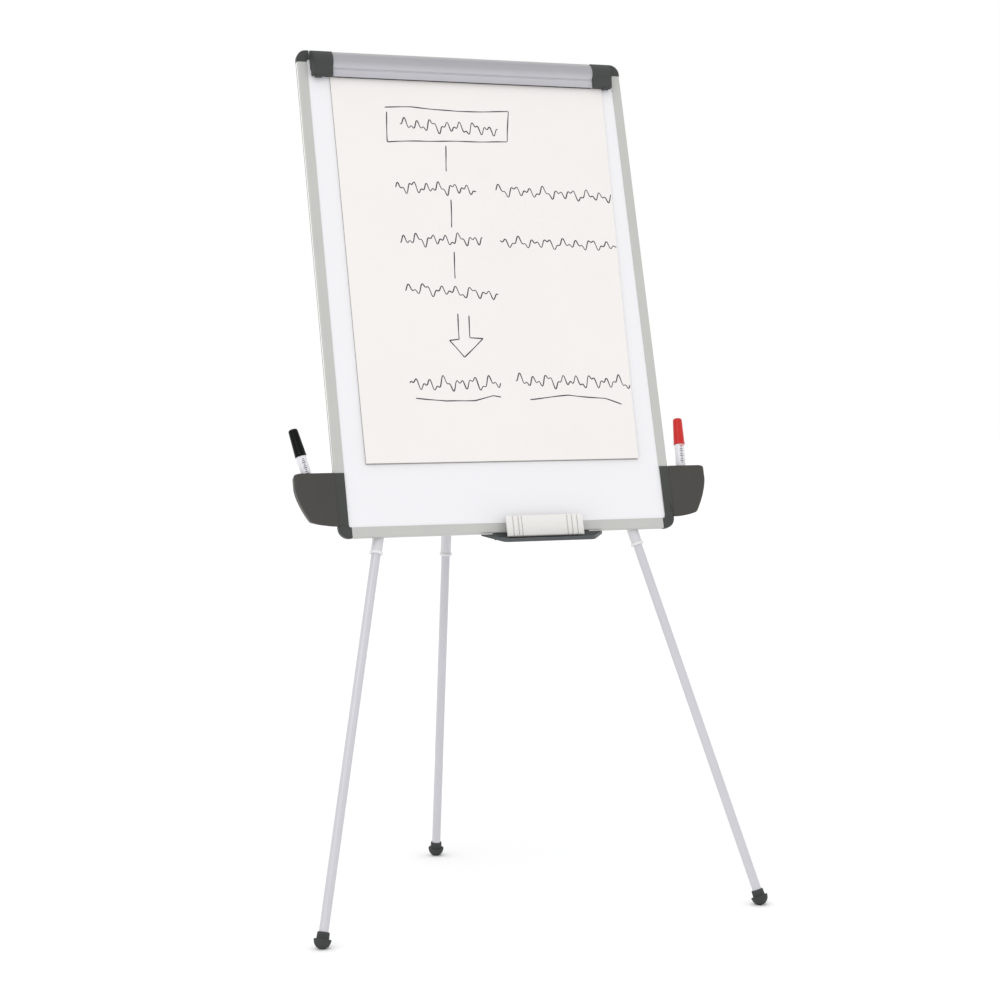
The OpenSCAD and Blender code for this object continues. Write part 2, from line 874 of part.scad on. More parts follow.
module upper_tube() {
  translate([0, 0, -upper_reach]) linear_extrude(upper_reach - tube_top) difference() {
    circle(upper_d / 2);
    circle(upper_d / 2 - tube_wall);
  }
}

module guide_bushing() {
  inner = lower_d / 2 + run;
  rotate_extrude() polygon([
    [inner, -upper_reach - 5],
    [upper_d / 2 + 1.4, -upper_reach - 5],
    [upper_d / 2 + 2, -upper_reach - 4.4],
    [upper_d / 2 + 2, -upper_reach],
    [upper_d / 2 - tube_wall - 0.02, -upper_reach],
    [upper_d / 2 - tube_wall - 0.02, -upper_reach + 20],
    [inner, -upper_reach + 20]
  ]);
}

module lock_sleeve(top) {
  outer = upper_d / 2 - tube_wall - run;
  translate([0, 0, top + 2.4]) linear_extrude(25.6) difference() {
    circle(outer);
    circle(4 + run);
    for (a = [0, 90]) rotate(a + 45) translate([outer, 0]) square([6, 2], center = true);
  }
}

module lock_core(top) {
  translate([0, 0, top - 25]) cylinder(h = 25, r = lower_d / 2 - tube_wall - 0.02);
  translate([0, 0, top]) cylinder(h = 2, r = lower_d / 2);
  translate([0, 0, top + 2]) cylinder(h = 26.5, r = 4);
  translate([0, 0, top + 28.4]) cylinder(h = lock_rise - 28.4, r1 = 7, r2 = 6);
}

module lower_tube(bottom) {
  translate([0, 0, bottom]) linear_extrude(lower_len) difference() {
    circle(lower_d / 2);
    circle(lower_d / 2 - tube_wall);
  }
}

module foot(len) {
  sleeve = lower_d / 2 + foot_wall;
  difference() {
    union() {
      translate([0, 0, -len]) rotate_extrude() {
        intersection() {
          circle(foot_r);
          translate([0, -foot_r - 1]) square(foot_r + 1);
        }
        translate([0, -1]) square([foot_r + 0.4, 3]);
      }
      translate([0, 0, -len + 1]) cylinder(h = 12.5, r1 = sleeve + 0.2, r2 = sleeve - 0.2);
      translate([0, 0, -len + 13.5]) cylinder(h = 1.5, r1 = sleeve - 0.2, r2 = sleeve - 1);
    }
    translate([0, 0, -len - foot_seat]) cylinder(h = 60, r = lower_d / 2);
  }
}

// The left leg

module leg_left_knuckle() {
  color("darkslategray") in_leg("left") knuckle();
}

module leg_left_upper_tube() {
  color("gainsboro") in_leg("left") upper_tube();
}

module leg_left_guide_bushing() {
  color("gainsboro") in_leg("left") guide_bushing();
}

module leg_left_lock_sleeve() {
  color("dimgray") in_leg("left") lock_sleeve(lower_len - front_len - foot_seat);
}

module leg_left_lock_core() {
  color("dimgray") in_leg("left") lock_core(lower_len - front_len - foot_seat);
}

module leg_left_lower_tube() {
  color("lightgray") in_leg("left") lower_tube(-front_len - foot_seat);
}

module leg_left_foot() {
  color("dimgray") difference() {
    in_leg("left") foot(front_len);
    translate([-feet_w, -feet_d, -50]) cube([2 * feet_w, 2 * feet_d, 50]);
  }
}

// The right leg

module leg_right_knuckle() {
  color("darkslategray") in_leg("right") knuckle();
}

module leg_right_upper_tube() {
  color("gainsboro") in_leg("right") upper_tube();
}

module leg_right_guide_bushing() {
  color("gainsboro") in_leg("right") guide_bushing();
}

module leg_right_lock_sleeve() {
  color("dimgray") in_leg("right") lock_sleeve(lower_len - front_len - foot_seat);
}

module leg_right_lock_core() {
  color("dimgray") in_leg("right") lock_core(lower_len - front_len - foot_seat);
}

module leg_right_lower_tube() {
  color("lightgray") in_leg("right") lower_tube(-front_len - foot_seat);
}

module leg_right_foot() {
  color("dimgray") difference() {
    in_leg("right") foot(front_len);
    translate([-feet_w, -feet_d, -50]) cube([2 * feet_w, 2 * feet_d, 50]);
  }
}

// The rear leg

module leg_rear_knuckle() {
  color("darkslategray") in_leg("rear") knuckle();
}

module leg_rear_upper_tube() {
  color("gainsboro") in_leg("rear") upper_tube();
}

module leg_rear_guide_bushing() {
  color("gainsboro") in_leg("rear") guide_bushing();
}

module leg_rear_lock_sleeve() {
  color("dimgray") in_leg("rear") lock_sleeve(lower_len - rear_len - foot_seat);
}

module leg_rear_lock_core() {
  color("dimgray") in_leg("rear") lock_core(lower_len - rear_len - foot_seat);
}

module leg_rear_lower_tube() {
  color("lightgray") in_leg("rear") lower_tube(-rear_len - foot_seat);
}

module leg_rear_foot() {
  color("dimgray") difference() {
    in_leg("rear") foot(rear_len);
    translate([-feet_w, -feet_d, -50]) cube([2 * feet_w, 2 * feet_d, 50]);
  }
}

writing_surface();
board_core();
back_sheet();
rail_top();
rail_bottom();
rail_left();
rail_right();
corner_top_left();
corner_top_right();
corner_bottom_left();
corner_bottom_right();
frame_screws();
clamp_brackets();
clamp_hinge_pins();
clamp_springs();
clamp_bar();
clamp_grip_strip();
clamp_cap_left();
clamp_cap_right();
flipchart_pad();
side_pocket_left();
side_pocket_right();
pen_tray();
eraser_body();
eraser_felt();
marker_left_barrel();
marker_left_nib();
marker_left_cap();
marker_right_barrel();
marker_right_nib();
marker_right_cap();
head_plate();
head_housing();
head_screws();
pivot_bolts();
pivot_nuts();
leg_left_knuckle();
leg_left_upper_tube();
leg_left_guide_bushing();
leg_left_lock_sleeve();
leg_left_lock_core();
leg_left_lower_tube();
leg_left_foot();
leg_right_knuckle();
leg_right_upper_tube();
leg_right_guide_bushing();
leg_right_lock_sleeve();
leg_right_lock_core();
leg_right_lower_tube();
leg_right_foot();
leg_rear_knuckle();
leg_rear_upper_tube();
leg_rear_guide_bushing();
leg_rear_lock_sleeve();
leg_rear_lock_core();
leg_rear_lower_tube();
leg_rear_foot();
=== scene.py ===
import math

import bmesh
import bpy
import numpy as np
from mathutils import Matrix, Vector


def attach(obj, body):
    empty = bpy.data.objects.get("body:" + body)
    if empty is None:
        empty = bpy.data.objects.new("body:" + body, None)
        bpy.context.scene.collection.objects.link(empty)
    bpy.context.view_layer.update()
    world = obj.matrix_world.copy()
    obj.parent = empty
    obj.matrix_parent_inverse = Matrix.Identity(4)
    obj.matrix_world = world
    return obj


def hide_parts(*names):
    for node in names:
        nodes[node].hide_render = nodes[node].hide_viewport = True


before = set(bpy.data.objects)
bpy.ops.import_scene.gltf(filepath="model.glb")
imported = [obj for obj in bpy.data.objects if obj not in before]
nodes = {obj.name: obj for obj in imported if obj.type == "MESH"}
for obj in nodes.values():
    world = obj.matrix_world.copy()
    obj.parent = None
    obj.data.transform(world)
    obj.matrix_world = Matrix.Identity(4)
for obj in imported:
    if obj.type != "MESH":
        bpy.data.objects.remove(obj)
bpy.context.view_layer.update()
print("frame loaded with", len(nodes), "nodes")

# the leaning board: u runs along it, f forward of its face and v up it, all in mm
board = {"tilt": math.radians(16), "y": -0.1545508, "z": 0.735}


def onBoard(u, f, v):
    # (u, f, v) turned back by the tilt and carried to the board's lower front edge, in metres
    u, f, v = np.broadcast_arrays(np.asarray(u, float), np.asarray(f, float), np.asarray(v, float))
    c, s = math.cos(board["tilt"]), math.sin(board["tilt"])
    return np.stack([u / 1000, board["y"] + (v * s - f * c) / 1000,
                     board["z"] + (v * c + f * s) / 1000], -1)


# meshes

meshing = {"merge": 2e-6, "degenerate": 1e-7, "leastRadius": 1e-4}


def gridQuads(rows, cols):
    # quads between neighbours of a rows x cols grid whose columns close on themselves
    i, j = np.arange(rows - 1)[:, None], np.arange(cols)[None, :]
    k, n = i + 1, (j + 1) % cols
    corners = np.broadcast_arrays(i * cols + j, k * cols + j, k * cols + n, i * cols + n)
    return np.stack(corners, -1).reshape(-1, 4)


def skin(rings):
    # a stack of closed rings joined by quads, its two ends filled, wound so that its volume is positive
    rings = np.asarray(rings, float)
    n, m = rings.shape[:2]
    points = rings.reshape(-1, 3)
    quads = gridQuads(n, m)
    ends = [np.arange(m)[::-1], np.arange((n - 1) * m, n * m)]
    fans = [np.stack([np.full(m - 2, e[0]), e[1:-1], e[2:]], 1) for e in ends]
    triangles = np.concatenate([quads[:, :3], quads[:, [0, 2, 3]]] + fans)
    p = (points - points.mean(0))[triangles]
    if np.einsum("ij,ij->", p[:, 0], np.cross(p[:, 1], p[:, 2])) < 0:
        quads, ends = quads[:, ::-1], [e[::-1] for e in ends]
    return points, quads, ends


def makePiece(name, shells, material, body, standsFor=(), sharp=35):
    points, faces, start = [], [], 0
    for p, quads, ends in shells:
        points.append(p)
        faces += (quads + start).tolist() + [(e + start).tolist() for e in ends]
        start += len(p)
    mesh = bpy.data.meshes.new(name)
    mesh.from_pydata(np.concatenate(points).tolist(), [], faces)
    mesh.materials.append(material)
    work = bmesh.new()
    work.from_mesh(mesh)
    bmesh.ops.remove_doubles(work, verts=work.verts, dist=meshing["merge"])
    bmesh.ops.dissolve_degenerate(work, edges=work.edges, dist=meshing["degenerate"])
    work.to_mesh(mesh)
    work.free()
    mesh.polygons.foreach_set("use_smooth", np.ones(len(mesh.polygons), bool))
    mesh.set_sharp_from_angle(angle=math.radians(sharp))
    piece = bpy.data.objects.new(name, mesh)
    bpy.context.scene.collection.objects.link(piece)
    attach(piece, body)
    if standsFor:
        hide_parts(*standsFor)


def insetPolygon(corners, amount):
    # every edge of a counter-clockwise polygon moved inwards by amount, and neighbours crossed again
    p = np.asarray(corners, float)
    along = np.roll(p, -1, 0) - p
    along /= np.linalg.norm(along, axis=1)[:, None]
    q = p + np.stack([-along[:, 1], along[:, 0]], 1) * amount
    q0, a0 = np.roll(q, 1, 0), np.roll(along, 1, 0)
    cross = a0[:, 0] * along[:, 1] - a0[:, 1] * along[:, 0]
    t = ((q[:, 0] - q0[:, 0]) * along[:, 1] - (q[:, 1] - q0[:, 1]) * along[:, 0]) / cross
    return q0 + a0 * t[:, None]


def roundedOutline(corners, radii, steps=8):
    # each corner becomes an arc touching both of its sides: centre + its two arms blended by sines
    p = np.asarray(corners, float)
    r = np.maximum(np.asarray(radii, float), meshing["leastRadius"])
    a, b = np.roll(p, 1, 0) - p, np.roll(p, -1, 0) - p
    a /= np.linalg.norm(a, axis=1)[:, None]
    b /= np.linalg.norm(b, axis=1)[:, None]
    half = np.arccos(np.clip((a * b).sum(1), -1, 1)) / 2
    mid = (a + b) / np.linalg.norm(a + b, axis=1)[:, None]
    centre = p + mid * (r / np.sin(half))[:, None]
    first = p + a * (r / np.tan(half))[:, None] - centre
    last = p + b * (r / np.tan(half))[:, None] - centre
    w = (math.pi - 2 * half)[:, None]
    t = np.linspace(0, 1, steps)[None, :]
    fade, grow = np.sin((1 - t) * w)[..., None], np.sin(t * w)[..., None]
    blend = (fade * first[:, None] + grow * last[:, None]) / np.sin(w)[..., None]
    return (centre[:, None] + blend).reshape(-1, 2)


def slab(u0, u1, f0, f1, v0, v1, edge):
    # a box on the board whose section in f and v has rounded corners
    outline = roundedOutline([(f0, v0), (f1, v0), (f1, v1), (f0, v1)], (edge,) * 4, 5)
    return skin([onBoard(u, outline[:, 0], outline[:, 1]) for u in (u0, u1)])


def sideSlab(side, near, far, *rest):
    # a slab between two distances from the board's middle, on the left (-1) or the right (1)
    return slab(*sorted((side * near, side * far)), *rest)


# materials

def linear(code):
    rgb = [int(code[i:i + 2], 16) / 255 for i in (0, 2, 4)]
    return [c / 12.92 if c <= 0.04045 else ((c + 0.055) / 1.055) ** 2.4 for c in rgb] + [1.0]


def grey(value):
    return (value, value, value, 1)


def newMaterial(name):
    material = bpy.data.materials.new(name)
    material.use_nodes = True
    tree = material.node_tree
    tree.nodes.clear()
    shader = tree.nodes.new("ShaderNodeBsdfPrincipled")
    tree.links.new(shader.outputs[0], tree.nodes.new("ShaderNodeOutputMaterial").inputs[0])
    return material, tree, shader


def newNodes(tree, *kinds):
    return [tree.nodes.new("ShaderNode" + kind) for kind in kinds]


def noise(tree, stretch, scale, detail=4.0, roughness=0.55):
    # noise on Object coordinates, stretched so that a grain runs along the piece
    coords, mapping, made = newNodes(tree, "TexCoord", "Mapping", "TexNoise")
    mapping.inputs["Scale"].default_value = stretch
    tree.links.new(coords.outputs["Object"], mapping.inputs["Vector"])
    tree.links.new(mapping.outputs[0], made.inputs["Vector"])
    made.inputs["Scale"].default_value = scale
    made.inputs["Detail"].default_value = detail
    made.inputs["Roughness"].default_value = roughness
    return made.outputs[0]


def ramp(tree, source, stops):
    made = tree.nodes.new("ShaderNodeValToRGB")
    colours = made.color_ramp.elements
    while len(colours) < len(stops):
        colours.new(0.5)
    for element, (place, colour) in zip(colours, stops):
        element.position, element.color = place, colour
    tree.links.new(source, made.inputs[0])
    return made.outputs[0]


def shade(colour, factor):
    return [min(c * factor, 1) for c in colour[:3]] + [1.0]


def paintedShadeByHeight(tree, colour, paintedShadeBands):
    # painted shade and painted highlight: the colour multiplied by greys that change with the height z on
    # Object coordinates
    coords, split, span, mix = newNodes(tree, "TexCoord", "SeparateXYZ", "MapRange", "Mix")
    tree.links.new(coords.outputs["Object"], split.inputs[0])
    tree.links.new(split.outputs[2], span.inputs[0])
    span.inputs["From Min"].default_value = paintedShadeBands["low"]
    span.inputs["From Max"].default_value = paintedShadeBands["high"]
    mix.data_type, mix.blend_type = "RGBA", "MULTIPLY"
    mix.inputs[0].default_value = 1.0
    greys = ramp(tree, span.outputs[0], [(at, grey(value)) for at, value in paintedShadeBands["greys"]])
    tree.links.new(colour, mix.inputs[6])
    tree.links.new(greys, mix.inputs[7])
    return mix.outputs[2]


# what a look has unless its own row says otherwise
usualLook = {"spread": 0.05, "cloud": 14.0, "cloudStretch": (1, 1, 1), "grain": 900.0, "grainDetail": 2.0,
             "stretch": (1, 1, 1), "roughSwing": 0.12, "bump": 0.1, "depth": 0.0003, "metal": 0.0,
             "coat": 0.0, "specular": 0.5}
rampEnds = (0.3, 0.7)


def finish(name, look):
    # slow cloud for colour, fine grain for roughness and bump, both from the look's own row
    material, tree, shader = newMaterial(name)
    look = {**usualLook, **look}
    base, spread, rough, swing = linear(look["colour"]), look["spread"], look["rough"], look["roughSwing"]
    cloud = noise(tree, look["cloudStretch"], look["cloud"])
    grain = noise(tree, look["stretch"], look["grain"], look["grainDetail"])
    colour = ramp(tree, cloud, list(zip(rampEnds, (shade(base, 1 - spread), shade(base, 1 + spread)))))
    # painted shade by height, where a look carries it
    if "paintedShadeBands" in look:
        colour = paintedShadeByHeight(tree, colour, look["paintedShadeBands"])
    roughness = ramp(tree, grain, list(zip(rampEnds, (grey(rough * (1 - swing)),
                                                      grey(min(rough * (1 + swing), 1))))))
    tree.links.new(colour, shader.inputs["Base Color"])
    tree.links.new(roughness, shader.inputs["Roughness"])
    bump = tree.nodes.new("ShaderNodeBump")
    bump.inputs["Strength"].default_value = look["bump"]
    bump.inputs["Distance"].default_value = look["depth"]
    tree.links.new(grain, bump.inputs["Height"])
    tree.links.new(bump.outputs[0], shader.inputs["Normal"])
    shader.inputs["Metallic"].default_value = look["metal"]
    shader.inputs["Coat Weight"].default_value = look["coat"]
    shader.inputs["Specular IOR Level"].default_value = look["specular"]
    return material


alongU, alongV = (0.03, 1, 1), (1, 1, 0.03)
# painted shade and painted highlight on the clamp bar: lightest at the lip's ledge, darker up its upper
# face
clampPaintedShade = {"low": 1.642, "high": 1.693,
              "greys": [(0.0, 0.86), (0.3, 0.96), (0.4, 1.0), (0.62, 0.74), (0.86, 0.66), (1.0, 0.78)]}
looks = {
    "frameAluminium": {"colour": "bbbbb8", "rough": 0.45, "metal": 0.2, "spread": 0.02, "grain": 500,
                       "bump": 0.04},
    "clampAluminium": {"colour": "bcbbc1", "rough": 0.45, "metal": 0.1, "spread": 0.02, "grain": 500,
                       "stretch": alongU, "bump": 0.05, "paintedShadeBands": clampPaintedShade},
    "upperTubeAluminium": {"colour": "d0cfd3", "rough": 0.4, "metal": 0.15, "spread": 0.02,
                           "grain": 400, "stretch": alongV, "bump": 0.04},
    "lowerTubeAluminium": {"colour": "c6c5cb", "rough": 0.38, "metal": 0.25, "spread": 0.02,
                           "grain": 400, "stretch": alongV, "bump": 0.04},
    "bushingGrey": {"colour": "dededf", "rough": 0.45, "spread": 0.02},
    "enamelWhite": {"colour": "e6e6e9", "rough": 0.2, "spread": 0.004, "cloud": 4, "grain": 60,
                    "bump": 0.02, "coat": 0.1, "specular": 0.3},
    "zincSheet": {"colour": "a9abad", "rough": 0.45, "metal": 0.8, "spread": 0.08, "cloud": 45,
                  "bump": 0.05},
    "zincSteel": {"colour": "b4b4b6", "rough": 0.32, "metal": 0.9},
    "cornerPlastic": {"colour": "3f4140", "rough": 0.5, "specular": 0.25},
    "pocketPlastic": {"colour": "42403d", "rough": 0.52, "specular": 0.25},
    "bandPlastic": {"colour": "3f413f", "rough": 0.5, "specular": 0.25},
    "slotShadow": {"colour": "242524", "rough": 0.8},
    "railShade": {"colour": "6b6a67", "rough": 0.7, "spread": 0.1, "specular": 0.2},
    "railShine": {"colour": "f6f6f3", "rough": 0.3, "spread": 0.01},
    "trayPlastic": {"colour": "4d5153", "rough": 0.42, "specular": 0.35},
    "headPlastic": {"colour": "303233", "rough": 0.5, "specular": 0.3},
    "footRubber": {"colour": "3d3f3f", "rough": 0.72, "grain": 500, "specular": 0.25},
    "gripRubber": {"colour": "232323", "rough": 0.75},
    "coreFibre": {"colour": "a58f6a", "rough": 0.9, "spread": 0.15, "cloud": 90, "bump": 0.3},
    "paperWhite": {"colour": "e7e4e2", "rough": 0.88, "spread": 0.008, "cloud": 5, "grain": 700,
                   "bump": 0.06, "specular": 0.2},
    # the card's own grey, also a painted shadow line where it shows round the pad
    "cardAndEdgeShadowGrey": {"colour": "a3a09c", "rough": 0.92, "spread": 0.08, "cloud": 120, "bump": 0.2,
                    "specular": 0.2},
    "inkGrey": {"colour": "3f3d45", "rough": 0.6, "spread": 0.16, "cloud": 60},
    "eraserPlastic": {"colour": "e1e0dd", "rough": 0.42, "spread": 0.012},
    "eraserFelt": {"colour": "5b5b5d", "rough": 0.97, "spread": 0.2, "cloud": 260, "grain": 1500,
                   "bump": 0.8, "depth": 0.0008},
    "barrelWhite": {"colour": "dedee2", "rough": 0.25, "spread": 0.01, "bump": 0.02, "coat": 0.3},
    "labelGrey": {"colour": "55565b", "rough": 0.4, "spread": 0.06, "cloud": 90},
    "capBlack": {"colour": "090a0b", "rough": 0.14, "bump": 0.02, "specular": 0.12},
    "capRed": {"colour": "c0231f", "rough": 0.2, "spread": 0.04, "bump": 0.02, "specular": 0.3},
    "nibBlack": {"colour": "0c0c0d", "rough": 0.95, "grain": 1500, "bump": 0.4},
    "nibRed": {"colour": "a01614", "rough": 0.95, "grain": 1500, "bump": 0.4},
}
finishes = {name: finish(name, look) for name, look in looks.items()}

# a word in a node's name gives its finish; a later word wins
nodeFinish = {
    "rail_": "frameAluminium", "clamp_bar": "clampAluminium",
    "corner_": "cornerPlastic", "clamp_cap": "cornerPlastic", "clamp_grip": "gripRubber",
    "clamp_brackets": "zincSteel", "clamp_hinge": "zincSteel", "clamp_springs": "zincSteel",
    "frame_screws": "zincSteel", "head_screws": "zincSteel", "pivot_": "zincSteel",
    "head_plate": "zincSheet", "head_housing": "headPlastic",
    "writing_surface": "enamelWhite", "board_core": "coreFibre", "back_sheet": "zincSheet",
    "side_pocket": "pocketPlastic", "knuckle": "headPlastic",
    "upper_tube": "upperTubeAluminium", "guide_bushing": "bushingGrey",
    "lock_sleeve": "headPlastic", "lock_core": "headPlastic",
    "lower_tube": "lowerTubeAluminium", "_foot": "footRubber",
    "left_nib": "nibBlack", "right_nib": "nibRed",
}
for name, piece in nodes.items():
    for word, finishName in nodeFinish.items():
        if word in name:
            piece.data.materials.clear()
            piece.data.materials.append(finishes[finishName])
print("CAD nodes finished")

# painted highlight and painted shadow along the frame's outer sides: a light strip for the lit rounded
# edge, a dark strip for the shaded side

railLine = {"side": 350, "proud": 0.12, "edge": 0.04, "low": 127.2, "high": 982,
            "bright": (3.2, 8.6), "dark": (9.2, 11.6)}


def frameLine(shallow, deep):
    # a hair-thin strip on each outer side, between two depths behind the face, carrying painted highlight
    # or painted shadow
    k = railLine
    return [sideSlab(side, k["side"], k["side"] + k["proud"], -deep, -shallow,
                     k["low"], k["high"], k["edge"]) for side in (-1, 1)]


makePiece("rail_side_painted_highlight_lines", frameLine(*railLine["bright"]), finishes["railShine"],
          "easel")
makePiece("rail_side_painted_shadow_lines", frameLine(*railLine["dark"]), finishes["railShade"],
          "easel")
print("rail lines made")

# paper: the loose top sheet, the flat block of sheets under it and the card behind them, the card's grey
# rim partly painted shadow along the pad's edges

paper = {"low": 143.7, "high": 979.4, "left": -285.5, "rightLow": 285.5, "rightHigh": 305.5,
         "proud": 1.62, "thick": 0.16, "curl": 3.2, "wave": 0.35}
sheetBlock = {"low": 0.6, "grow": -0.4, "front": 1.38, "back": -0.3}
# the card shows 1.4 below and 0.3 beside the sheets: partly real card, partly painted shadow at the pad's
# edges
backing = {"low": -1.4, "grow": 0.3, "front": -0.34, "back": -1.15}


def paperRight(v):
    # the right edge leans out evenly from its lower corner to its upper one
    lean = paper["rightHigh"] - paper["rightLow"]
    return paper["rightLow"] + lean * (v - paper["low"]) / (paper["high"] - paper["low"])


def paperFront(u, v):
    # the sheet lies flat under the clamp and lifts by curl * (1 - t)^6, most at the corners,
    # with one slow wave
    t = (v - paper["low"]) / (paper["high"] - paper["low"])
    s = (u - paper["left"]) / (paperRight(v) - paper["left"])
    lift = paper["curl"] * (1 - t) ** 6 * (0.5 + 0.5 * (2 * s - 1) ** 2)
    wave = paper["wave"] * (1 + np.sin(2 * math.pi * (1.2 * s + 0.5 * t))) * np.sin(math.pi * t) ** 2
    return paper["proud"] + lift + wave


def paperBack(u, v):
    return paperFront(u, v) - paper["thick"]


def sheetShell(low, high, grow, front, back, cols=90, rows=110):
    # each level's ring runs across the front from left to right and home along the back
    v = np.linspace(low, high, rows)[:, None]
    s = np.linspace(0, 1, cols)[None, :]
    u = (paper["left"] - grow) * (1 - s) + (paperRight(v) + grow) * s
    v = np.broadcast_to(v, u.shape)
    return skin(np.concatenate([onBoard(u, front(u, v), v), onBoard(u, back(u, v), v)[:, ::-1]], 1))


def flatShell(layer):
    # a flat layer of the pad, its faces at constant f
    return sheetShell(paper["low"] + layer["low"], paper["high"], layer["grow"],
                      lambda u, v: np.full(u.shape, layer["front"]),
                      lambda u, v: np.full(u.shape, layer["back"]), 4, 4)


makePiece("flipchart_top_sheet", [sheetShell(paper["low"], paper["high"], 0, paperFront, paperBack)],
          finishes["paperWhite"], "easel", ["flipchart_pad"])
makePiece("flipchart_sheets", [flatShell(sheetBlock)], finishes["paperWhite"], "easel")
makePiece("flipchart_backing_and_edge_shadow", [flatShell(backing)], finishes["cardAndEdgeShadowGrey"], "easel")

# a loose diagram in pen: box, links, wavy lines, arrow and underlines, none of it lettering

ink = {"width": 1.35, "proud": 0.05, "thick": 0.1, "spacing": 2.0, "wobble": 0.5, "sharp": 60}
penPaths = (
    [(-177, 884), (-120, 886), (-20, 880), (89, 884), (80, 818)],
    [(-174, 874), (-178, 809), (-110, 813), (80, 817)],
    [(-55, 805), (-59, 749)],
    [(-56, 689), (-60, 629)],
    [(-61, 578), (-64, 521)],
    [(-67, 448), (-69, 394), (-90, 392), (-62, 357), (-19, 396), (-46, 398), (-44, 444)],
    [(-172, 274), (-110, 267), (-50, 268), (-10, 277), (6, 274)],
    [(67, 269), (150, 277), (230, 269), (264, 257)],
)
penWaves = (
    (-148, 848, 62, 842, 7, 34),
    (-170, 713, 0, 712, 6, 32),
    (43, 712, 297, 702, 8, 30),
    (-172, 601, 3, 604, 6, 32),
    (40, 600, 295, 596, 8, 28),
    (-171, 500, 24, 488, 6, 30),
    (-181, 301, 8, 304, 6, 36),
    (41, 308, 287, 303, 8, 34),
)


def strokeShell(path, wobble):
    # control points resampled at even spacing and swayed by a small sine,
    # then given a tapered width across the path
    path = np.asarray(path, float)
    run = np.concatenate([[0], np.cumsum(np.linalg.norm(np.diff(path, axis=0), axis=1))])
    s = np.linspace(0, run[-1], max(int(run[-1] / ink["spacing"]), 6))
    u, v = np.interp(s, run, path[:, 0]), np.interp(s, run, path[:, 1])
    du, dv = np.gradient(u), np.gradient(v)
    size = np.hypot(du, dv)
    nu, nv = -dv / size, du / size
    sway = wobble * np.sin(s / 17 + path[0, 0])
    u, v = u + nu * sway, v + nv * sway
    taper = np.clip(np.minimum(s, run[-1] - s) / 2 + 0.5, 0.5, 1)
    half = ink["width"] * (0.85 + 0.15 * np.sin(s / 9)) * taper
    low, high = ink["proud"], ink["proud"] + ink["thick"]
    rings = []
    for k, h in ((-1, low), (-0.6, high), (0.6, high), (1, low)):
        uk, vk = u + nu * half * k, v + nv * half * k
        rings.append(onBoard(uk, paperFront(uk, vk) + h, vk))
    return skin(np.stack(rings, 1))


def wavyLine(u0, v0, u1, v1, waves, height):
    # a straight run with three sines of falling size on top, so it reads as a scribble, not as words
    t = np.linspace(0, 1, 40 * waves)
    a = 2 * math.pi * waves * t
    rise = 0.5 * np.sin(a) + 0.3 * np.sin(2.3 * a + u0) + 0.2 * np.sin(0.6 * a + v0)
    return np.stack([u0 + (u1 - u0) * t, v0 + (v1 - v0) * t + height / 2 * rise], 1)


strokes = [strokeShell(path, ink["wobble"]) for path in penPaths]
strokes += [strokeShell(wavyLine(*row), 0) for row in penWaves]
makePiece("flipchart_pen_strokes", strokes, finishes["inkGrey"], "easel", sharp=ink["sharp"])
print("paper made")

# eraser

eraser = {"length": 161, "front": 24, "back": 7.15, "low": -12.975, "height": 42, "middle": 62,
          "grooves": (13.5, 24.5, 31.6, 126.7, 137, 148), "grooveDepth": 2.8, "grooveWidth": 0.75,
          "rib": 1.1, "ribGap": 20, "swell": 0.35, "shy": 1.0, "edge": 2.0, "endRound": 2,
          "draft": 9, "slope": 0.8, "sharp": 50}
felt = {"front": 0.12, "gap": 0.05, "layers": 4, "inset": 1.1, "seam": 0.5, "drop": 1, "corner": 1.5}


def eraserBody():
    # front(u) = front - dips at the grooves + a bulge between close ones; the rounded-box section
    # shrinks at both ends, where its back also slopes in from the felt
    e = eraser
    s = np.concatenate([np.linspace(0, 0.02, 8)[:-1], np.linspace(0.02, 0.98, 420),
                        np.linspace(0.98, 1, 8)[1:]])
    u = s * e["length"]
    toEnd = np.minimum(u, e["length"] - u)
    marks = np.array((0,) + e["grooves"] + (e["length"],), float)
    away = (u[:, None] - np.array(e["grooves"])[None, :]) / e["grooveWidth"]
    dip = np.exp(-away ** 2).sum(1) * e["grooveDepth"]
    span = np.searchsorted(marks, u, "right").clip(1, len(marks) - 1)
    gapWidth = marks[span] - marks[span - 1]
    place = (u - marks[span - 1]) / gapWidth
    rib = e["rib"] * np.sin(math.pi * place.clip(0, 1)) ** 0.7
    front = e["front"] - e["shy"] - dip + np.where(gapWidth < e["ribGap"], rib, e["swell"])
    bend = e["endRound"]
    shrink = bend * (1 - np.sqrt(np.clip(1 - (1 - toEnd.clip(0, bend) / bend) ** 2, 0, 1)))
    slope = np.clip(1 - toEnd / e["draft"], 0, 1) * e["slope"]
    rings = []
    for along, f, k, r in zip(e["middle"] - e["length"] / 2 + u, front, shrink, slope):
        b = e["back"] + (f - k - e["back"]) * r
        low, high = e["low"] + k, e["low"] + e["height"] - k
        edge = e["edge"] * (1 - r) + 0.6
        outline = roundedOutline([(b, low), (f - k, low), (f - k, high), (b, high)],
                                 (0.4, edge, edge, 0.4), 7)
        rings.append(onBoard(along, outline[:, 0], outline[:, 1]))
    return skin(rings)


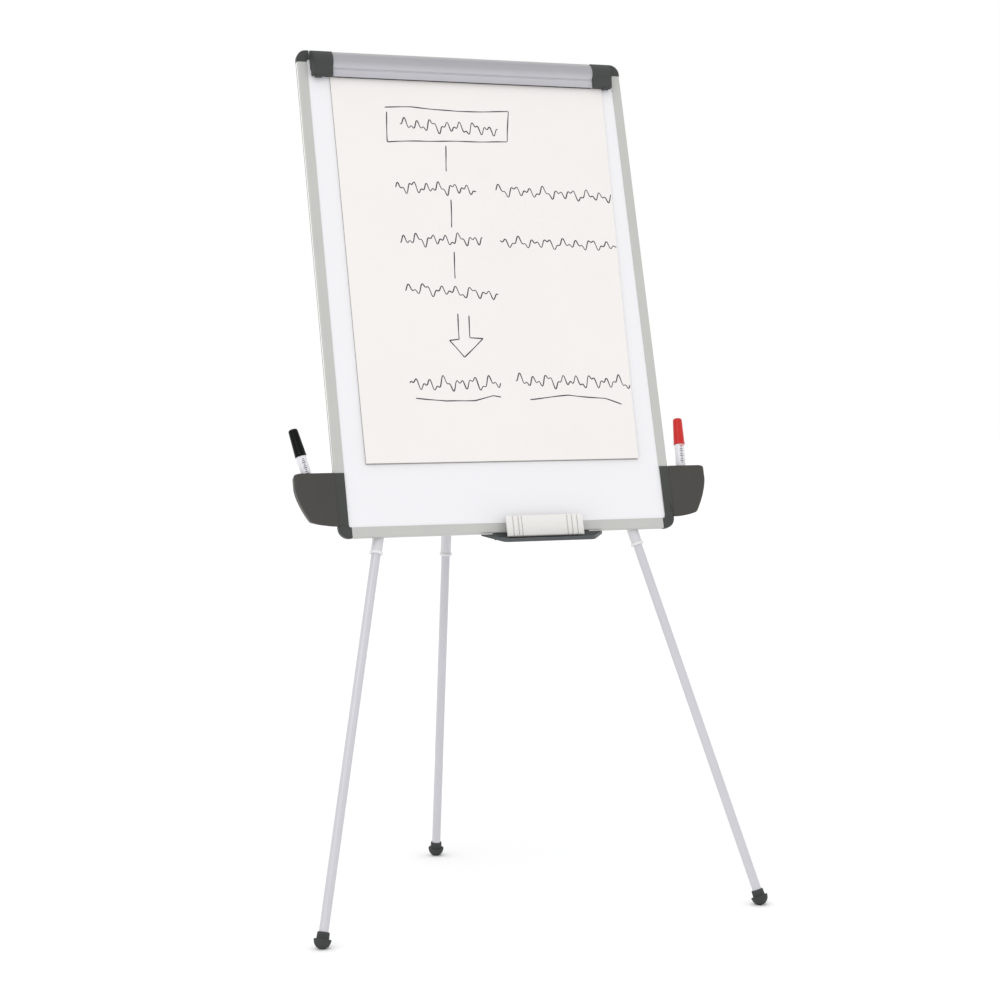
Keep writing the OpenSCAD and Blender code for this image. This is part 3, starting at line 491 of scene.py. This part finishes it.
def eraserFelt():
    # a block of pressed layers: its outline draws in slightly at each seam
    e, k = eraser, felt
    f = np.linspace(k["front"], e["back"] - k["gap"], 33)
    seam = np.abs(np.cos(math.pi * k["layers"] * (f - f[0]) / (f[-1] - f[0]))) ** 8
    left = e["middle"] - e["length"] / 2 + e["draft"]
    right = left + e["length"] - 2 * e["draft"]
    low, high = e["low"] - k["drop"], e["low"] + e["height"]
    rings = []
    for depth, i in zip(f, k["inset"] + k["seam"] * seam):
        box = [(left + i, low + i), (right - i, low + i), (right - i, high - i), (left + i, high - i)]
        outline = roundedOutline(box, (k["corner"],) * 4, 5)
        rings.append(onBoard(outline[:, 0], depth, outline[:, 1]))
    return skin(rings)


makePiece("eraser_ribbed_body", [eraserBody()], finishes["eraserPlastic"], "eraser",
          ["eraser_body"], eraser["sharp"])
makePiece("eraser_felt_layers", [eraserFelt()], finishes["eraserFelt"], "eraser",
          ["eraser_felt"])
print("eraser made")

# tray

tray = {"middle": 62, "half": 130, "frontHalf": 91, "out": 47, "drop": 12.5, "floor": 3, "rim": 4.5,
        "round": 14, "sheer": (0.96, 0.6), "straight": 80, "ribs": 3, "ribDepth": 0.35, "foot": 1.6,
        "rimAlong": ([-131, 86, 108, 119, 126, 131], [1, 1, 0.3, 0.85, 1.1, 1.0])}
flange = {"span": (-38, 162), "edge": 0.4, "sections": ((-3.0, -0.6, -14, 0.2), (-11.6, -0.6, -2.4, 0))}


def trayRing(inset, height):
    # the boat-shaped outline drawn in by inset, at a height that may change from front to back
    t = tray
    corners = [(-t["half"], 1), (-t["frontHalf"] - 2, -t["out"]), (t["frontHalf"] + 2, -t["out"]),
               (t["half"], 1)]
    radii = np.maximum(np.array([2.0, t["round"], t["round"], 2.0]) - inset, 0.4)
    outline = roundedOutline(insetPolygon(corners, inset), radii, 16)
    x, y = outline[:, 0], np.minimum(outline[:, 1], 1)
    top = trayRim()(x, y)
    z = height(x, y) if callable(height) else np.full(len(x), float(height))
    # the underside and floor rise towards both tips
    s = np.clip((np.abs(x) - t["straight"]) / (t["half"] - t["straight"]), 0, 1)
    z = z + (top - z) * np.where(x < 0, *t["sheer"]) * s ** 2.2
    return np.stack([(t["middle"] + x) / 1000, board["y"] + y / 1000, board["z"] + z / 1000], -1)


def trayRim(lower=0.0):
    # the rim stays level along the front and climbs towards the board
    t = tray
    front = t["rim"] - t["drop"]
    levels = ([-t["out"] - 9, -t["out"] * 0.6, -t["out"] * 0.35, -t["out"] * 0.1, 2],
              [front, front, front + 1.6, -2.5, -2.5])

    def height(x, y):
        return front + (np.interp(y, *levels) - front) * np.interp(x, *t["rimAlong"]) - lower
    return height


def trayShell():
    # outline rings up the ribbed outside, over the rounded rim, down inside and across the floor
    t = tray
    base = -t["drop"] - t["floor"]
    foot = base + t["foot"]
    rings = [trayRing(inset, base + up) for inset, up in ((2.2, 0), (1.0, 0.25), (0.3, 0.8))]
    rings.append(trayRing(0, foot))
    for step in np.linspace(0.05, 0.92, 22):
        dent = t["ribDepth"] * (0.5 - 0.5 * math.cos(2 * math.pi * t["ribs"] * step))
        rings.append(trayRing(dent, lambda x, y, k=step: foot + (trayRim(0.6)(x, y) - foot) * k))
    rings += [trayRing(inset, trayRim(lower)) for inset, lower in
              ((0.15, 0.45), (0.7, 0.1), (1.5, 0), (2.3, 0.1), (2.85, 0.5))]
    rings.append(trayRing(3.0, lambda x, y: np.minimum(trayRim(1.4)(x, y), -t["drop"] + 1.5)))
    rings += [trayRing(inset, -t["drop"] + up) for inset, up in ((3.3, 0.6), (4.0, 0.15), (5.0, 0))]
    return skin(rings)


flanges = [slab(*flange["span"], *section, flange["edge"]) for section in flange["sections"]]
makePiece("pen_tray_boat", [trayShell()] + flanges, finishes["trayPlastic"], "easel",
          ["pen_tray"])
print("tray made")

# clamp end caps: a skirt that carries each cap down past the bar's lip, with a small finger tab under it

skirt = {"inner": 281.5, "outer": 324.5, "round": 3, "drawIn": 0.55,
         "section": [(3.6, 942.5), (13.2, 942.5), (15.2, 947), (17.6, 961.5), (20.2, 970), (12, 970),
                     (3.6, 956)],
         "corners": (0.8, 1.6, 3, 6, 1, 1, 1),
         "tab": (304, 317, 4.2, 12.6, 939.6, 943.2), "tabEdge": 1.2}


def skirtShell(side):
    # the section run across the cap, drawn in by 1 - cos near its outer end
    k = skirt
    start = k["outer"] - k["round"]
    along = np.concatenate([np.linspace(k["inner"], start, 8),
                            k["outer"] - k["round"] * (1 - np.sin(np.linspace(0.2, math.pi / 2, 7)))])
    beyond = np.clip((along - start) / k["round"], 0, 1)
    inset = k["round"] * (1 - np.sqrt(1 - beyond ** 2)) * k["drawIn"]
    rings = []
    for u, i in zip(along, inset):
        radii = np.maximum(np.array(k["corners"]) - i, 0.15)
        outline = roundedOutline(insetPolygon(k["section"], i), radii, 6)
        rings.append(onBoard(side * u, outline[:, 0], outline[:, 1]))
    return skin(rings)


tabs = [sideSlab(side, *skirt["tab"], skirt["tabEdge"]) for side in (-1, 1)]
makePiece("clamp_cap_skirts", [skirtShell(-1), skirtShell(1)] + tabs, finishes["cornerPlastic"],
          "clamp")
print("clamp skirts made")

# pen pockets: a bowed cup on each side, held by a band round the rail

pocket = {"side": 350, "low": 21.2, "curve": 0.0033, "rise": 0.26, "top": 127, "lift": 10.4,
          "front": -4, "back": 32, "wall": 2, "floor": 80, "bow": (-46.5, 110, 127), "crest": 0.9,
          "shoulder": 6, "turn": 7, "backTurn": 4, "nearTurn": 2.5, "draft": 4, "sharp": 40}
pocketBand = {"low": 25.3, "high": 126.7, "face": (331, 351.5, 0.02, 2.4), "faceEdge": 0.7,
              "clip": (334, 352, -13.9, -12.02, 55, 115), "clipEdge": 0.6,
              "wall": (350.1, 352, -13.5, 2.2), "wallEdge": 0.5}
# two dark slabs on the right band's face: painted shadow where its slots open, the slots not cut
slots = {"rows": ((343.2, 344.4, 2.3, 2.5, 31, 52), (346.6, 347.8, 2.3, 2.5, 29, 47)), "edge": 0.05}


def pocketReach(v):
    # distance out from the frame: a wide circular bow, capped by a small round shoulder at the top
    x0, v0, r = pocket["bow"]
    k = pocket["shoulder"]
    bow = x0 + np.sqrt(r ** 2 - (v - v0) ** 2)
    over = np.clip(v - (pocket["top"] - k), 0, k)
    return np.minimum(bow, x0 + r - pocket["crest"] - k + np.sqrt(k ** 2 - over ** 2))


def pocketRing(side, t, inset, up=0.0, level=None):
    # a D-shaped section whose outer side draws in by draft towards the back; without a level,
    # t runs from the base, low + curve * x^2 + rise * depth, to the rim
    p = pocket
    outer = (1 - t) * (p["low"] + p["lift"]) + t * p["top"] if level is None else level
    reach = float(pocketReach(np.array(outer))) - inset
    front, back, near = p["front"] + inset, p["back"] - inset, inset
    r, b, n = p["turn"] - inset, p["backTurn"], p["nearTurn"]
    q, k = np.linspace(0, math.pi / 2, 14), np.linspace(0.06, 0.96, 10)
    x = np.concatenate([np.linspace(near, reach - p["draft"] - b - 1, 12),
                        reach - p["draft"] - b + b * np.sin(q),
                        reach - p["draft"] * (1 - k),
                        reach - r + r * np.cos(q),
                        np.linspace(reach - r - 1, near + n + 0.5, 12),
                        near + n - n * np.sin(q)])
    d = np.concatenate([np.full(12, back),
                        back - b + b * np.cos(q),
                        back - b + (front + r - back + b) * k,
                        front + r - r * np.sin(q),
                        np.full(12, front),
                        front + n - n * np.cos(q)])
    base = p["low"] + p["curve"] * x ** 2 + p["rise"] * (d - p["front"])
    v = (1 - t) * base + t * p["top"] if level is None else np.full(len(x), float(level))
    return onBoard(side * (p["side"] + x), -d, v + up)


def pocketShell(side):
    # up the outside from a rounded base, over the rim and down inside to the pen floor
    p = pocket
    rings = [pocketRing(side, 0, inset, up) for inset, up in ((1.0, 0), (0.3, 0.3), (0.02, 0.9))]
    heights = np.concatenate([np.linspace(0.012, 0.9, 44), np.linspace(0.91, 0.985, 14)])
    rings += [pocketRing(side, t, 0) for t in heights]
    rings += [pocketRing(side, 1, inset, -down) for inset, down in
              ((0.12, 0.7), (0.45, 0.2), (1.0, 0), (1.55, 0.2), (1.88, 0.7))]
    rings += [pocketRing(side, 1, p["wall"], 0, level)
              for level in np.linspace(p["top"] - 1.5, p["floor"] + 1, 16)]
    rings.append(pocketRing(side, 1, p["wall"] + 1, 0, p["floor"] + 0.1))
    rings.append(pocketRing(side, 1, p["wall"] + 2.5, 0, p["floor"]))
    return skin(rings)


def bandShells(side):
    # the strip on the rail's face, the clip behind the rail and the wall that joins them
    k = pocketBand
    return [sideSlab(side, *k["face"], k["low"], k["high"], k["faceEdge"]),
            sideSlab(side, *k["clip"], k["clipEdge"]),
            sideSlab(side, *k["wall"], k["low"], k["high"], k["wallEdge"])]


for word, side in (("left", -1), ("right", 1)):
    name = "side_pocket_" + word
    makePiece(name + "_cup", [pocketShell(side)], finishes["pocketPlastic"], "easel",
              [name], pocket["sharp"])
    makePiece(name + "_band", bandShells(side), finishes["bandPlastic"], "easel")
# painted shadow of the right band's slots
makePiece("side_pocket_right_slot_shadows", [slab(*row, slots["edge"]) for row in slots["rows"]],
          finishes["slotShadow"], "easel")
print("pockets made")

# markers

markers = {
    "left": {"side": -1, "foot": 391, "lean": 12.5, "length": 139, "cap": "capBlack",
             "capSlot": "marker_black", "marks": 9, "flute": 0.0},
    "right": {"side": 1, "foot": 383, "lean": 3, "length": 149, "cap": "capRed",
              "capSlot": "marker_red", "marks": 10, "flute": 0.012},
}
marker = {"radius": 10, "capLength": 55, "floor": 80.1, "back": -13, "around": 72,
          "capOver": 1.2, "capDraft": 1.9, "dome": 4.5, "collar": 3.6, "capFloor": 12.5, "axis": 0.01}
label = {"angle": -0.05, "span": 0.34, "more": 0.2, "low": 8, "high": 6.2, "step": 3.6,
         "skin": (0.02, 0.09), "sharp": 60, "band": (0.1, 0.9, 4.6, 2.4)}
flutes = {"count": 16, "low": 8, "high": 7, "fade": 3}


def turned(profile, spot, flute=None):
    # the profile (radius, height) turned round the marker's axis, its radius scaled by flute(angle, height)
    a = np.linspace(0, 2 * math.pi, marker["around"], endpoint=False)[None, :]
    r, h = (np.asarray(profile, float)[:, i:i + 1] for i in (0, 1))
    scale = np.ones((len(r), a.shape[1])) if flute is None else flute(a, h)
    return skin(spot(r * scale * np.cos(a), -r * scale * np.sin(a), h + 0 * a))


def markerSpot(m):
    # across, forward and along the marker, leaned outwards about its foot
    lean = math.radians(m["side"] * m["lean"])
    v0 = marker["floor"] + marker["radius"] * math.sin(math.radians(m["lean"]))
    return lambda x, f, h: onBoard(m["side"] * m["foot"] + x * math.cos(lean) + h * math.sin(lean),
                                   marker["back"] + f, v0 - x * math.sin(lean) + h * math.cos(lean))


def labelMark(spot, angle, span, low, high):
    # a small curved block on the barrel between two angles and two heights
    a = np.linspace(angle - span / 2, angle + span / 2, 6)
    under, over = label["skin"]
    rows = [(low, under), (low, over), (high, over), (high, under)]
    ring = [spot((marker["radius"] + r) * np.sin(a), (marker["radius"] + r) * np.cos(a), np.full(6, h))
            for h, r in rows]
    return skin(np.stack(ring, 1))


def labelShells(spot, neck, marks):
    # short bars of three lengths in turn, down the barrel from the cap
    k = label
    return [labelMark(spot, k["angle"], k["span"] + k["more"] * ((i * 7) % 3),
                      neck - k["low"] - k["step"] * i, neck - k["high"] - k["step"] * i)
            for i in range(marks)]


def bodyProfile(neck):
    # barrel with a soft foot, a step under the cap, a cone and the nib's collar
    r = marker["radius"]
    return [(marker["axis"], 0), (r - 1.2, 0), (r - 0.35, 0.35), (r, 1.2), (r, neck - 0.5),
            (r - 0.2, neck - 0.3), (r - 2, neck - 0.3), (r - 2, neck + 14), (r - 4, neck + 22),
            (3, neck + 24), (2.25, neck + 24), (2.25, neck + 14.2), (marker["axis"], neck + 14.2)]


def capProfile(neck, length):
    # collar, wall drawing in by capDraft, quarter-round dome, and the hollow that takes the cone
    r, dome = marker["radius"], marker["dome"]
    over, inner = r + marker["capOver"], r - 2 + 0.1
    start, top = neck + marker["collar"], length - dome
    wall = [(over - marker["capDraft"] * t, start + (top - start) * t) for t in np.linspace(0, 1, 10)]
    crown = [(over - marker["capDraft"] - dome + dome * math.cos(b), top + dome * math.sin(b))
             for b in np.linspace(0, math.pi / 2, 8)[1:]]
    collar = [(inner, neck - 0.2), (r + 1.3, neck - 0.2), (r + 1.5, neck), (r + 1.5, neck + 2.8),
              (r + 1.25, neck + 3.5)]
    floor = length - marker["capFloor"]
    return collar + wall + crown + [(marker["axis"], length), (marker["axis"], floor), (inner, floor),
                                    (inner, neck - 0.2)]


def fluted(neck, length, depth):
    # shallow grooves that fade out at the collar and at the dome, none on a smooth cap
    low, high = neck + flutes["low"], length - flutes["high"]

    def scale(a, h):
        fade = np.clip((h - low) / flutes["fade"], 0, 1) * np.clip((high - h) / flutes["fade"], 0, 1)
        return 1 - depth * fade * np.clip(np.cos(flutes["count"] * a), 0, 1) ** 4
    return scale


for word, m in markers.items():
    name, spot, length = "marker_" + word, markerSpot(m), m["length"]
    neck = length - marker["capLength"]
    makePiece(name + "_body", [turned(bodyProfile(neck), spot)], finishes["barrelWhite"],
              name, [name + "_barrel"])
    cap = turned(capProfile(neck, length), spot, fluted(neck, length, m["flute"]))
    makePiece(name + "_fluted_cap", [cap], finishes[m["cap"]], name + "_cap",
              [name + "_cap"])
    makePiece(name + "_label", labelShells(spot, neck, m["marks"]), finishes["labelGrey"],
              name, sharp=label["sharp"])
    if word == "right":
        angle, span, low, high = label["band"]
        makePiece("marker_right_band", [labelMark(spot, angle, span, neck - low, neck - high)],
                  finishes["capRed"], "marker_right", sharp=label["sharp"])
print("markers made")

# studio

camera = {"place": (-1.4739, -4.0638, 1.0068), "yaw": 20.292, "pitch": 2.643, "roll": 0.482,
          "lens": 77.069, "sensor": 36, "far": 100, "shift": (0.0015, -0.0078)}
lights = {
    "keyLight": {"kind": "AREA", "place": (-3.0, -3.5, 3.6), "aim": (0, 0, 0.9), "size": (1.2, 2.4),
                 "power": 18},
    "fillLight": {"kind": "AREA", "place": (2.6, -3.6, 2.0), "aim": (0, 0, 0.9), "size": (0.5, 2.4),
                  "power": 3},
    "sunLight": {"kind": "SUN", "place": (-2.5, -1.0, 5.0), "aim": (0, 0, 0), "angle": 60,
                 "power": 0.36},
}
studio = {"half": 30, "floorGreys": (0.955, 0.97), "floorCloud": 3.0, "floorRough": 0.9,
          "sky": (1, 1, 1, 1), "skyStrength": 1.0}


def addCamera():
    yaw, pitch, roll = (math.radians(camera[k]) for k in ("yaw", "pitch", "roll"))
    ahead = Vector((math.sin(yaw) * math.cos(pitch), math.cos(yaw) * math.cos(pitch), -math.sin(pitch)))
    level = Vector((math.cos(yaw), -math.sin(yaw), 0))
    under = ahead.cross(level)
    right = level * math.cos(roll) + under * math.sin(roll)
    down = under * math.cos(roll) - level * math.sin(roll)
    data = bpy.data.cameras.new("camera")
    data.sensor_width, data.lens, data.clip_end = camera["sensor"], camera["lens"], camera["far"]
    data.shift_x, data.shift_y = camera["shift"]
    made = bpy.data.objects.new("camera", data)
    turn = Matrix((right, -down, -ahead)).transposed().to_4x4()
    made.matrix_world = Matrix.Translation(camera["place"]) @ turn
    bpy.context.scene.collection.objects.link(made)
    bpy.context.scene.camera = made


def addLight(name, light):
    data = bpy.data.lights.new(name, light["kind"])
    if light["kind"] == "SUN":
        data.angle = math.radians(light["angle"])
    else:
        data.shape = "RECTANGLE"
        data.size, data.size_y = light["size"]
    data.energy = light["power"]
    made = bpy.data.objects.new(name, data)
    made.location = light["place"]
    aim = Vector(light["aim"]) - Vector(light["place"])
    made.rotation_euler = aim.to_track_quat("-Z", "Y").to_euler()
    bpy.context.scene.collection.objects.link(made)


def addFloor():
    material, tree, shader = newMaterial("studioFloor")
    greys = [(at, grey(value)) for at, value in zip((0.0, 1.0), studio["floorGreys"])]
    cloud = noise(tree, (1, 1, 1), studio["floorCloud"])
    tree.links.new(ramp(tree, cloud, greys), shader.inputs["Base Color"])
    shader.inputs["Roughness"].default_value = studio["floorRough"]
    mesh = bpy.data.meshes.new("floor")
    h = studio["half"]
    mesh.from_pydata([(-h, -h, 0), (h, -h, 0), (h, h, 0), (-h, h, 0)], [], [(0, 1, 2, 3)])
    mesh.materials.append(material)
    floor = bpy.data.objects.new("floor", mesh)
    bpy.context.scene.collection.objects.link(floor)


addCamera()
addFloor()
for name, light in lights.items():
    addLight(name, light)
world = bpy.data.worlds.new("studio")
world.use_nodes = True
world.node_tree.nodes["Background"].inputs[0].default_value = studio["sky"]
world.node_tree.nodes["Background"].inputs[1].default_value = studio["skyStrength"]
bpy.context.scene.world = world
bpy.context.scene.view_settings.view_transform = "Standard"
print("studio ready")
